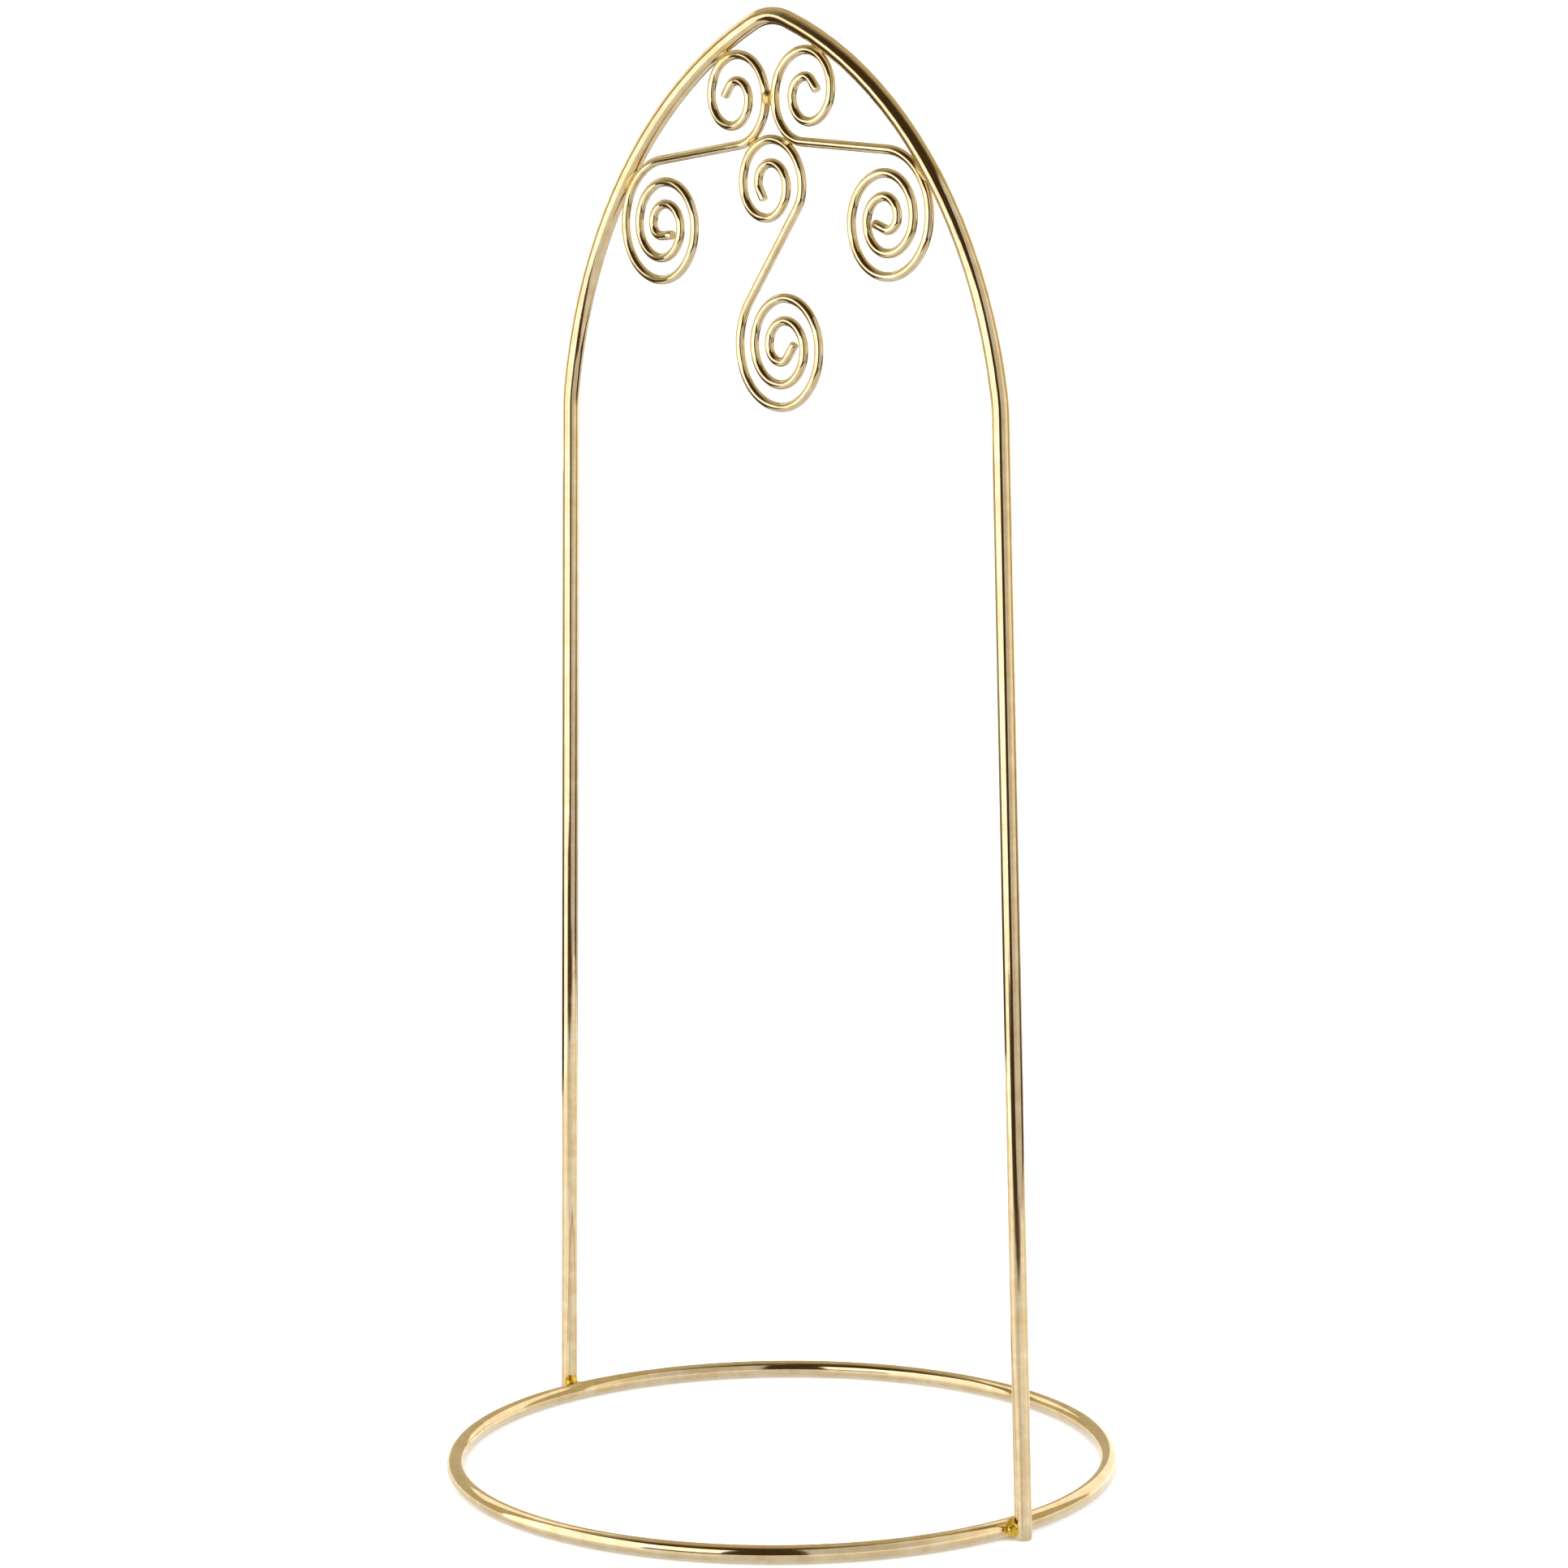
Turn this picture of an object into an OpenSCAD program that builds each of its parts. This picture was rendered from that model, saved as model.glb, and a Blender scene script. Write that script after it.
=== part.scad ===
// Tabletop hanging stand: a pointed wire arch welded to a base ring, with three
// scrolls of thinner wire in the head of the arch. The arch stands in the XZ plane,
// +Z is up, and the origin is on the floor at the centre of the ring.

/* [Base ring] */
// Diameter of the ring, to the middle of its rod
ring_d = 156; // [124:1:220]
// Diameter of the rod of the ring and the arch
rod_d = 4; // [3:0.1:5.5]

/* [Arch] */
// Height from the floor to the top of the arch
arch_h = 343; // [260:1:460]
// Inward lean of each leg, in degrees
leg_lean = 1.5; // [0:0.1:3]
// Radius of the shoulder bend at the top of each leg
shoulder_r = 35; // [20:1:60]
// Turn of the shoulder bend, in degrees
shoulder_turn = 8; // [3:0.5:14]
// Radius of the two flanks of the pointed head
flank_r = 110; // [96:1:150]
// Radius of the bend at the point, to the middle of the rod
point_r = 17; // [8:0.5:24]

/* [Scroll wire] */
// Diameter of the wire of the three scrolls
wire_d = 2.2; // [1.6:0.1:3]

/* [Side scrolls] */
// Outer radius of each upper volute
top_r = 10.4; // [8:0.1:14]
// Distance from turn to turn in each upper volute
top_pitch = 6; // [4.4:0.1:6.4]
// Slope of the straight bar between the volutes, in degrees
bar_slope = 5.2; // [0:0.1:12]
// Radius of the bend that leads from the bar into the lower volute
low_r = 14.8; // [12:0.1:19]
// Distance from turn to turn in each lower volute
low_pitch = 5.2; // [4:0.1:5.6]

/* [Centre scroll] */
// Outer radius of the upper volute
crook_r = 11; // [8:0.1:13]
// Distance from turn to turn in the upper volute
crook_pitch = 5.4; // [4:0.1:5.8]
// Radius of the neck bend between the upper volute and the diagonal
neck_r = 8; // [5:0.1:12]
// Length of the straight diagonal
diagonal_len = 27; // [18:0.5:50]
// Slant of the diagonal from upright, in degrees
diagonal_slant = 39; // [25:0.5:50]
// Radius of the bend that leads from the diagonal into the hanging volute
hook_r = 15.8; // [13:0.1:20]
// Distance from turn to turn in the hanging volute
hook_pitch = 5.2; // [4:0.1:5.6]

/* [Volute ends] */
// Straight tail inside each upper volute
short_tail = 3; // [1:0.1:4]
// Straight tail inside each lower volute
long_tail = 4; // [2:0.1:5]
// Turn of the right lower volute inside its lead-in bend, in degrees
right_low_turn = 830; // [740:1:850]
// Turn of the left lower volute inside its lead-in bend, in degrees
left_low_turn = 812; // [740:1:850]

/* [Braze beads] */
// Clearance left between two pieces that touch
fit_gap = 0.15; // [0.05:0.05:0.4]
// Clear gap between the two upper volutes, filled by the crown bead
crown_gap = 1; // [0.5:0.1:2]
// Thickness of the bead at the foot of each leg
foot_bead_d = 3.6; // [2.6:0.1:3.9]
// Length of the bead at the foot of each leg, along the ring
foot_bead_len = 4; // [1:0.5:6]
// Thickness of the beads that hold the scrolls
bead_d = 2.6; // [1.8:0.1:4]
// Length of the bead between a lower volute and the arch
long_bead_len = 5; // [1:0.5:8]
// Length of the bead between an upper volute and the arch
short_bead_len = 3; // [1:0.5:6]

/* [Hidden] */
$fn = 48;
rod_sides = 20;
wire_sides = 12;
// Largest turn between two sections, in degrees
arch_step = 4;
wire_step = 12;
gold = "#d8bd80";
bead_gold = "#c9a13c";

// Turns of the volutes inside their lead-in bends, in degrees
top_turn = 410;
crook_turn = 570;
hook_turn = 860;
// A volute is made of quarter arcs, each a quarter of the pitch tighter than the last
quarter = 90;

// The same point on the other side of the stand's middle
function across(p) = [-p[0], p[1]];

// Sides of a whole circle of rod, fine enough for the beads that lie against it
function hoop_sides(r) = max(128, ceil(4 * r));

// The leg's foot clears the ring's rod, though it leans
foot_x = ring_d / 2 + (rod_d + fit_gap + rod_d / 2 * sin(leg_lean)) / cos(leg_lean);

// Centre of the flank arc, measured from the top of the leg
flank_start = leg_lean + shoulder_turn;
flank_from_leg = -shoulder_r * [cos(leg_lean), sin(leg_lean)]
    - (flank_r - shoulder_r) * [cos(flank_start), sin(flank_start)];
// Straight length of a leg, so that the point bend tops out at the arch's height
point_reach = [foot_x + flank_from_leg[0], arch_h - rod_d / 2 - point_r - flank_from_leg[1]];
point_along = point_reach * [sin(leg_lean), cos(leg_lean)];
point_gap_sq = point_reach * point_reach - pow(flank_r - point_r, 2);
leg_len = point_along - sqrt(pow(point_along, 2) - point_gap_sq);
leg_top = [foot_x - leg_len * sin(leg_lean), leg_len * cos(leg_lean)];
flank_c = leg_top + flank_from_leg;
point_c = [0, arch_h - rod_d / 2 - point_r];
flank_end = atan2(point_c[1] - flank_c[1], point_c[0] - flank_c[0]);

// Radius, about the flank's centre, of a wire that touches the arch from inside
touch_r = flank_r - rod_d / 2 - wire_d / 2 - fit_gap;

// Right-hand upper volute: its twin is across the middle, and its second arc meets the flank
top_step = top_pitch / 4;
top_x = wire_d / 2 + crown_gap / 2 + top_r;
top_second_z = flank_c[1] + sqrt(pow(touch_r - top_r + top_step, 2) - pow(top_x - flank_c[0], 2));
top_c = [top_x, top_second_z - top_step];
top_second_c = [top_x, top_second_z];

// The bar leaves the upper volute and runs on until the lower volute meets the flank
bar_dir = [cos(bar_slope), -sin(bar_slope)];
bar_down = [-sin(bar_slope), -cos(bar_slope)];
bar_start = top_c + top_r * bar_down;
low_from_flank = bar_start + low_r * bar_down - flank_c;
low_along = low_from_flank * bar_dir;
bar_len = sqrt(pow(low_along, 2) - low_from_flank * low_from_flank + pow(touch_r - low_r, 2)) - low_along;
low_step = low_pitch / 4;
low_c = bar_start + low_r * bar_down + bar_len * bar_dir;

// Centre scroll: the first arc of its upper volute touches the right scroll and the
// second one the left scroll
crook_step = crook_pitch / 4;
nest = crook_r + top_r + wire_d + fit_gap;
nest_share = crook_step / (2 * top_x);
nest_b = 2 * nest - crook_step;
nest_short = (nest_b - sqrt(nest_b * nest_b - 4 * (1 + nest_share * nest_share) * top_x * top_x))
    / (2 * (1 + nest_share * nest_share));
crook_x = -nest_share * nest_short;
crook_c = [crook_x, top_c[1] - nest + nest_short];
crook_second_c = crook_c + [0, crook_step];
neck_c = crook_c + [crook_r - neck_r, 0];
hook_step = hook_pitch / 4;
diagonal_top = neck_c + neck_r * [cos(diagonal_slant), -sin(diagonal_slant)];

// A rod or wire is a list of segments laid end to end in the arch's plane. A segment is
// [length, 0] for a straight run, or [radius, turn] for a bend, with left turns positive.
// A volute is a lead-in bend, then ever tighter quarter arcs, then a straight tail.
function volute(lead_r, lead, first_r, step, turn, tail, side) = concat(
    [[lead_r, side * lead]],
    [for (k = [0 : ceil(turn / quarter) - 1])
        [first_r - k * step, side * min(quarter, turn - k * quarter)]],
    [[tail, 0]]);

// A pose is [x, z, heading]; this one lies a share of the way along a segment
function along(pose, segment, share) =
    let (h = pose[2], size = segment[0], side = sign(segment[1]), h2 = h + share * segment[1])
    side == 0
        ? [pose[0] + share * size * cos(h), pose[1] + share * size * sin(h), h]
        : [pose[0] + side * size * (sin(h2) - sin(h)), pose[1] + side * size * (cos(h) - cos(h2)), h2];

// Poses at every step of a list of segments, after its first pose
function trace(segments, pose, step, i = 0) = i == len(segments) ? [] :
    let (n = max(1, ceil(abs(segments[i][1]) / step)),
        poses = [for (k = [1 : n]) along(pose, segments[i], k / n)])
    concat(poses, trace(segments, poses[n - 1], step, i + 1));

function route(start, segments, step) = concat([start], trace(segments, start, step));
function turned_back(poses) = [for (i = [len(poses) - 1 : -1 : 0])
    [poses[i][0], poses[i][1], poses[i][2] + 180]];
function mirrored(poses) = [for (p = poses) [-p[0], p[1], 180 - p[2]]];

// Radius of the corners of a section that has the area of the round rod
function corner_r(d, sides) = d / 2 * sqrt(2 * PI / sides / sin(360 / sides));

// Corner of a section; one that stands on the floor is slid along the rod to meet it
function corner(pose, r, angle, on_floor) =
    let (x = pose[0] - r * cos(angle) * sin(pose[2]), z = pose[1] + r * cos(angle) * cos(pose[2]))
    on_floor
        ? [x - z * cos(pose[2]) / sin(pose[2]), r * sin(angle), 0]
        : [x, r * sin(angle), z];

// The rod or wire along a list of poses
module rod(poses, d, sides, on_floor = false) {
    last = len(poses) - 1;
    r = corner_r(d, sides);
    corners = [for (i = [0 : last]) for (j = [0 : sides - 1])
        corner(poses[i], r, j * 360 / sides, on_floor && (i == 0 || i == last))];
    skin = [for (i = [0 : last - 1]) for (j = [0 : sides - 1])
        let (a = i * sides + j, b = i * sides + (j + 1) % sides)
        each [[a, a + sides, b], [b, a + sides, b + sides]]];
    start_cap = [for (j = [0 : sides - 1]) j];
    end_cap = [for (j = [sides - 1 : -1 : 0]) last * sides + j];
    polyhedron(corners, concat(skin, [start_cap, end_cap]));
}

// Stands a flat shape up at a point of the arch's plane, heading at an angle from +X
module at(point, heading = 0) {
    translate([point[0], 0, point[1]]) rotate([90, 0, 0]) rotate([0, 0, heading]) children();
}

module base_ring() {
    color(gold) translate([0, 0, rod_d / 2])
        rotate_extrude($fn = hoop_sides(ring_d / 2)) translate([ring_d / 2, 0])
            circle(d = rod_d, $fn = 48);
}

module arch_rod() {
    half = route([foot_x, 0, quarter + leg_lean],
        [[leg_len, 0], [shoulder_r, shoulder_turn], [flank_r, flank_end - flank_start],
            [point_r, quarter - flank_end]], arch_step);
    other = turned_back(mirrored(half));
    color(gold) rod(concat(half, [for (i = [1 : len(other) - 1]) other[i]]), rod_d, rod_sides, true);
}

module side_scroll(low_turn) {
    upper = route([bar_start[0], bar_start[1], 180 - bar_slope],
        volute(top_r, 2 * quarter - bar_slope, top_r - top_step,
            top_step, top_turn, short_tail, -1), wire_step);
    lower = route([bar_start[0], bar_start[1], -bar_slope],
        concat([[bar_len, 0]], volute(low_r, quarter - bar_slope, low_r - low_step,
            low_step, low_turn, long_tail, -1)), wire_step);
    color(gold) rod(concat(turned_back(upper), [for (i = [1 : len(lower) - 1]) lower[i]]),
        wire_d, wire_sides);
}

module right_scroll() {
    side_scroll(right_low_turn);
}

module left_scroll() {
    mirror([1, 0, 0]) side_scroll(left_low_turn);
}

module centre_scroll() {
    upper = route([diagonal_top[0], diagonal_top[1], quarter - diagonal_slant],
        volute(neck_r, diagonal_slant, crook_r, crook_step, crook_turn, short_tail, 1), wire_step);
    lower = route([diagonal_top[0], diagonal_top[1], -quarter - diagonal_slant],
        concat([[diagonal_len, 0]], volute(hook_r, diagonal_slant, hook_r - hook_step,
            hook_step, hook_turn, long_tail, 1)), wire_step);
    color(gold) rod(concat(turned_back(upper), [for (i = [1 : len(lower) - 1]) lower[i]]),
        wire_d, wire_sides);
}

// The whole circle that an arc of a rod or wire belongs to
module hoop(centre, r, d) {
    at(centre) rotate_extrude($fn = hoop_sides(r)) translate([r, 0]) circle(d = d, $fn = 48);
}

// A round-ended bead, centred at the origin along +X
module bead(d, length) {
    translate([-length / 2, 0, 0]) {
        rotate([0, 90, 0]) cylinder(d = d, h = length);
        sphere(d = d);
        translate([length, 0, 0]) sphere(d = d);
    }
}

// A bead in the nip between an arc of a flank and an arc of a volute
module flank_bead(outer_c, arc_c, arc_r, length) {
    away = arc_c - outer_c;
    nip = outer_c + (flank_r - rod_d / 2) * away / norm(away);
    color(bead_gold) difference() {
        at(nip, atan2(away[1], away[0]) + 90) bead(bead_d, length);
        hoop(outer_c, flank_r, rod_d);
        hoop(arc_c, arc_r, wire_d);
    }
}

module right_foot_bead() {
    color(bead_gold) difference() {
        translate([(ring_d + rod_d) / 2, 0, rod_d / 2]) rotate([0, 0, 90])
            bead(foot_bead_d, foot_bead_len);
        base_ring();
        at([foot_x, 0], 90 + leg_lean) rotate([0, 90, 0])
            cylinder(d = rod_d, h = 4 * rod_d, center = true);
    }
}

module left_foot_bead() {
    mirror([1, 0, 0]) right_foot_bead();
}

module right_low_bead() {
    flank_bead(flank_c, low_c, low_r, long_bead_len);
}

module left_low_bead() {
    flank_bead(across(flank_c), across(low_c), low_r, long_bead_len);
}

module right_top_bead() {
    flank_bead(flank_c, top_second_c, top_r - top_step, short_bead_len);
}

module left_top_bead() {
    flank_bead(across(flank_c), across(top_second_c), top_r - top_step, short_bead_len);
}

module crown_bead() {
    color(bead_gold) difference() {
        at(top_c - [top_x, 0], 90) bead(bead_d, short_bead_len);
        hoop(top_c, top_r, wire_d);
        hoop(across(top_c), top_r, wire_d);
    }
}

// A bead between an arc of the centre scroll and the outer arc of a side scroll
module centre_bead(arc_c, arc_r, side_c) {
    way = side_c - arc_c;
    color(bead_gold) difference() {
        at(arc_c + (arc_r + wire_d / 2) * way / norm(way), atan2(way[1], way[0]) + 90)
            bead(bead_d, bead_d / 2);
        hoop(arc_c, arc_r, wire_d);
        hoop(side_c, top_r, wire_d);
    }
}

module right_centre_bead() {
    centre_bead(crook_c, crook_r, top_c);
}

module left_centre_bead() {
    centre_bead(crook_second_c, crook_r - crook_step, across(top_c));
}

base_ring();
arch_rod();
left_scroll();
right_scroll();
centre_scroll();
left_foot_bead();
right_foot_bead();
left_low_bead();
right_low_bead();
left_top_bead();
right_top_bead();
crown_bead();
left_centre_bead();
right_centre_bead();
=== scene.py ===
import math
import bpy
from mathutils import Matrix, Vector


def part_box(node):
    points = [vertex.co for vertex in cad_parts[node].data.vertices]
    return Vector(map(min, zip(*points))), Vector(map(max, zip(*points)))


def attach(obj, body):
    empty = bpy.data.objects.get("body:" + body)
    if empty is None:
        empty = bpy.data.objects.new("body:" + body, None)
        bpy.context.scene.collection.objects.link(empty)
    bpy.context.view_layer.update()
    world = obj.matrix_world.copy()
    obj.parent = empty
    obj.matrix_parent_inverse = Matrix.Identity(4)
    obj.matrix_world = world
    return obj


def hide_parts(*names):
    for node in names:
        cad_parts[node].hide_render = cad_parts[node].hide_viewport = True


bl_info = {
    "name": "Scroll Arch Stand",
    "version": (1, 0, 0),
    "blender": (4, 5, 0),
    "location": "View3D > Sidebar > Stand",
    "description": "A tabletop hanging stand of polished rod and wire, with its braze fillets and a studio",
    "category": "Add Mesh",
}

from types import SimpleNamespace

import bmesh
import bpy
from bpy.props import FloatProperty, FloatVectorProperty, PointerProperty
from mathutils import Matrix, Vector

MM = 0.001
QUARTER = math.pi / 2

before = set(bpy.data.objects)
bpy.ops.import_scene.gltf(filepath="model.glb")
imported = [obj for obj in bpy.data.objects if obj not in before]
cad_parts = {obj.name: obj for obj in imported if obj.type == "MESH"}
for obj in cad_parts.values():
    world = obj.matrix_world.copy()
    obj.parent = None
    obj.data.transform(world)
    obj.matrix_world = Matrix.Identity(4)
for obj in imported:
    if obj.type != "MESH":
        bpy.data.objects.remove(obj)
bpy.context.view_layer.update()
RING_LOW, RING_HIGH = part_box("base_ring")
ARCH_LOW, ARCH_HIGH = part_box("arch_rod")


def linear(code):
    """An sRGB hex colour as linear red, green, blue."""
    shares = [int(code[i : i + 2], 16) / 255 for i in (1, 3, 5)]
    return [c / 12.92 if c <= 0.04045 else ((c + 0.055) / 1.055) ** 2.4 for c in shares]


def length(name, description, mm):
    """A size in millimetres, held in metres."""
    return FloatProperty(name=name, description=description, default=mm * MM, unit="LENGTH", precision=5)


def angle(name, description, degrees):
    """An angle in degrees, held in radians."""
    return FloatProperty(name=name, description=description, default=math.radians(degrees), subtype="ANGLE")


def share(name, description, value):
    """A plain number."""
    return FloatProperty(name=name, description=description, default=value, precision=3)


def colour(name, description, value):
    """An sRGB hex colour, held as linear red, green, blue."""
    return FloatVectorProperty(
        name=name, description=description, default=linear(value), subtype="COLOR", size=3, min=0, max=1
    )


class StandSizes(bpy.types.PropertyGroup):
    """The driving sizes of the ring, the arch and the scrolls"""

    rod_d: length("Rod", "Diameter of the rod of the ring and the arch", (RING_HIGH.z - RING_LOW.z) / MM)
    ring_d: length(
        "Ring", "Diameter of the ring, to the middle of its rod",
        (RING_HIGH.x - RING_LOW.x - RING_HIGH.z + RING_LOW.z) / MM,
    )
    arch_h: length("Height", "Height from the floor to the top of the arch", ARCH_HIGH.z / MM)
    leg_lean: angle("Leg lean", "Inward lean of each leg", 1.5)
    shoulder_r: length("Shoulder bend", "Radius of the bend at the top of each leg", 35)
    shoulder_turn: angle("Shoulder turn", "Turn of the shoulder bend", 8)
    flank_r: length("Flank", "Radius of the two flanks of the pointed head", 110)
    point_r: length("Point", "Radius of the bend at the point", 17)
    wire_d: length("Wire", "Diameter of the wire of the scrolls", 2.2)
    top_r: length("Upper volute", "Outer radius of each upper volute", 10.4)
    top_pitch: length("Upper pitch", "Distance from turn to turn in each upper volute", 6)
    top_turn: angle("Upper turn", "Turn of each upper volute inside its lead-in bend", 410)
    bar_slope: angle("Bar slope", "Slope of the straight bar between the volutes", 5.2)
    low_r: length("Lower volute", "Radius of the bend that leads into the lower volute", 14.8)
    low_pitch: length("Lower pitch", "Distance from turn to turn in each lower volute", 5.2)
    right_low_turn: angle("Right turn", "Turn of the right lower volute inside its lead-in bend", 830)
    left_low_turn: angle("Left turn", "Turn of the left lower volute inside its lead-in bend", 812)
    crook_r: length("Crook", "Outer radius of the centre scroll's upper volute", 11)
    crook_pitch: length("Crook pitch", "Distance from turn to turn in the centre scroll's upper volute", 5.4)
    crook_turn: angle("Crook turn", "Turn of the centre scroll's upper volute", 570)
    neck_r: length("Neck", "Radius of the bend between the upper volute and the diagonal", 8)
    diagonal_len: length("Diagonal", "Length of the straight diagonal", 27)
    diagonal_slant: angle("Slant", "Slant of the diagonal from upright", 39)
    hook_r: length("Hook", "Radius of the bend that leads into the hanging volute", 15.8)
    hook_pitch: length("Hook pitch", "Distance from turn to turn in the hanging volute", 5.2)
    hook_turn: angle("Hook turn", "Turn of the hanging volute inside its lead-in bend", 860)
    short_tail: length("Short tail", "Straight tail inside each upper volute", 3)
    long_tail: length("Long tail", "Straight tail inside each lower volute", 4)
    fit_gap: length("Fit gap", "Clearance left between two pieces that touch", 0.15)
    crown_gap: length("Crown gap", "Gap between the two upper volutes", 1)
    end_round: length("End rounding", "Length over which a cut end is eased", 0.25)


class StandFinish(bpy.types.PropertyGroup):
    """The colours and the polish of the plating"""

    rod_pale: colour("Rod", "Pale brass of the plated rod", "#DCCBAA")
    rod_deep: colour("Rod mottle", "Deeper patches in the rod's plating", "#D0B88E")
    wire_pale: colour("Wire", "Pale brass of the plated wire", "#DCD0B2")
    wire_deep: colour("Wire mottle", "Deeper patches in the wire's plating", "#D0BA8E")
    braze: colour("Braze", "Gold of the braze under the plating", "#E2BE42")
    braze_deep: colour("Braze shadow", "Darker gold where flux was trapped", "#C49E34")
    seam: colour("Wire braze", "Gold of the thin seams between wires", "#D2BB80")
    seam_deep: colour("Wire braze shadow", "Darker gold in the thin seams", "#B39B62")
    polish: share("Roughness", "Roughness of the polished plating", 0.08)


class StandStage(bpy.types.PropertyGroup):
    """The camera and the studio"""

    azimuth: angle("Azimuth", "Where the camera stands, round from the front of the arch", 48.93)
    elevation: angle("Elevation", "Camera's elevation, seen from the centre of the ring", 16.34)
    distance: length("Distance", "Distance from the camera to the centre of the ring", 987.9)
    facing: angle("Facing", "Direction that the camera faces, on the same scale as the azimuth", 48.82)
    pitch: angle("Pitch", "How far the camera looks down", 6.884)
    roll: angle("Roll", "How far the camera leans", -0.484)
    lens: share("Lens", "Focal length in millimetres, on a 36 mm sensor", 93.44)
    table_r: length("Table", "Radius of the white table top", 480)
    table_front: length("Table front", "Distance from the ring's centre to the table's straight front", 350)
    floor_r: length("Floor", "Radius of the pale floor round it", 9000)
    table_white: colour("Table white", "Colour of the table top", "#FFFDF8")
    floor_white: colour("Floor white", "Colour of the floor", "#FFFFFF")


# The paths of the rod and wire, in the arch's plane


def unit(turn):
    """The direction at an angle from +X."""
    return Vector((math.cos(turn), math.sin(turn)))


def across(point):
    """The same point on the other side of the stand's middle."""
    return Vector((-point[0], point[1]))


def layout(s):
    """Centres and lengths that follow from the sizes, so that every arc meets its neighbours."""
    foot_x = s.ring_d / 2 + (s.rod_d + s.fit_gap + s.rod_d / 2 * math.sin(s.leg_lean)) / math.cos(s.leg_lean)
    flank_start = s.leg_lean + s.shoulder_turn
    flank_from_leg = -s.shoulder_r * unit(s.leg_lean) - (s.flank_r - s.shoulder_r) * unit(flank_start)
    point_c = Vector((0, s.arch_h - s.rod_d / 2 - s.point_r))
    reach = Vector((foot_x, 0)) + flank_from_leg - point_c
    reach.y = -reach.y
    leg_along = reach.dot(Vector((math.sin(s.leg_lean), math.cos(s.leg_lean))))
    leg_len = leg_along - math.sqrt(leg_along**2 - reach.dot(reach) + (s.flank_r - s.point_r) ** 2)
    leg_top = Vector((foot_x - leg_len * math.sin(s.leg_lean), leg_len * math.cos(s.leg_lean)))
    flank_c = leg_top + flank_from_leg
    flank_end = math.atan2(point_c.y - flank_c.y, point_c.x - flank_c.x)

    # Radius, about the flank's centre, of a wire that touches the arch from inside
    touch_r = s.flank_r - s.rod_d / 2 - s.wire_d / 2 - s.fit_gap
    top_step = s.top_pitch / 4
    top_x = s.wire_d / 2 + s.crown_gap / 2 + s.top_r
    top_second_z = flank_c.y + math.sqrt((touch_r - s.top_r + top_step) ** 2 - (top_x - flank_c.x) ** 2)
    top_c = Vector((top_x, top_second_z - top_step))
    bar_dir = unit(-s.bar_slope)
    bar_down = unit(-QUARTER - s.bar_slope)
    bar_start = top_c + s.top_r * bar_down
    low_from_flank = bar_start + s.low_r * bar_down - flank_c
    low_along = low_from_flank.dot(bar_dir)
    low_reach = low_along**2 - low_from_flank.dot(low_from_flank) + (touch_r - s.low_r) ** 2
    bar_len = math.sqrt(low_reach) - low_along

    # The centre scroll's upper volute nests against both side scrolls
    crook_step = s.crook_pitch / 4
    nest = s.crook_r + s.top_r + s.wire_d + s.fit_gap
    nest_share = crook_step / (2 * top_x)
    nest_b = 2 * nest - crook_step
    nest_a = 1 + nest_share**2
    nest_short = (nest_b - math.sqrt(nest_b**2 - 4 * nest_a * top_x**2)) / (2 * nest_a)
    crook_c = Vector((-nest_share * nest_short, top_c.y - nest + nest_short))
    neck_c = crook_c + Vector((s.crook_r - s.neck_r, 0))
    return SimpleNamespace(
        foot_x=foot_x, leg_len=leg_len, flank_c=flank_c, flank_turn=flank_end - flank_start,
        point_turn=QUARTER - flank_end, top_c=top_c, top_second_c=top_c + Vector((0, top_step)),
        top_second_r=s.top_r - top_step, bar_start=bar_start, bar_len=bar_len,
        low_c=bar_start + s.low_r * bar_down + bar_len * bar_dir, crook_c=crook_c,
        crook_second_c=crook_c + Vector((0, crook_step)), crook_second_r=s.crook_r - crook_step,
        diagonal_top=neck_c + s.neck_r * unit(-s.diagonal_slant),
    )


def volute(lead_r, lead, first_r, pitch, turn, tail, side):
    """A lead-in bend, then ever tighter quarter arcs, then a straight tail, as (size, turn) segments."""
    quarters = range(math.ceil(turn / QUARTER))
    arcs = [(first_r - k * pitch / 4, side * min(QUARTER, turn - k * QUARTER)) for k in quarters]
    return [(lead_r, side * lead), *arcs, (tail, 0)]


def moved(pose, segment, part):
    """The pose a part of the way along a segment."""
    x, z, heading = pose
    size, turn = segment
    if turn == 0:
        return (x + part * size * math.cos(heading), z + part * size * math.sin(heading), heading)
    radius = math.copysign(size, turn)
    end = heading + part * turn
    x += radius * (math.sin(end) - math.sin(heading))
    z += radius * (math.cos(heading) - math.cos(end))
    return (x, z, end)


# How far apart the points of a path lie, round a bend and along a straight
BEND_STEP = math.radians(3)
RUN_STEP = 4 * MM
# Where the extra points lie in the eased length at a cut end
EASED_PARTS = (0.15, 0.4, 0.7, 1)


def route(start, segments):
    """Poses (x, z, heading) along segments laid end to end."""
    poses = [start]
    for segment in segments:
        size, turn = segment
        count = max(1, math.ceil(abs(turn) / BEND_STEP if turn else size / RUN_STEP))
        begin = poses[-1]
        poses += [moved(begin, segment, k / count) for k in range(1, count + 1)]
    return poses


def turned_back(poses):
    """The same poses, walked the other way."""
    return [(x, z, heading + math.pi) for x, z, heading in reversed(poses)]


def mirrored(poses):
    """The poses on the other side of the stand's middle."""
    return [(-x, z, math.pi - heading) for x, z, heading in poses]


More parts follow.
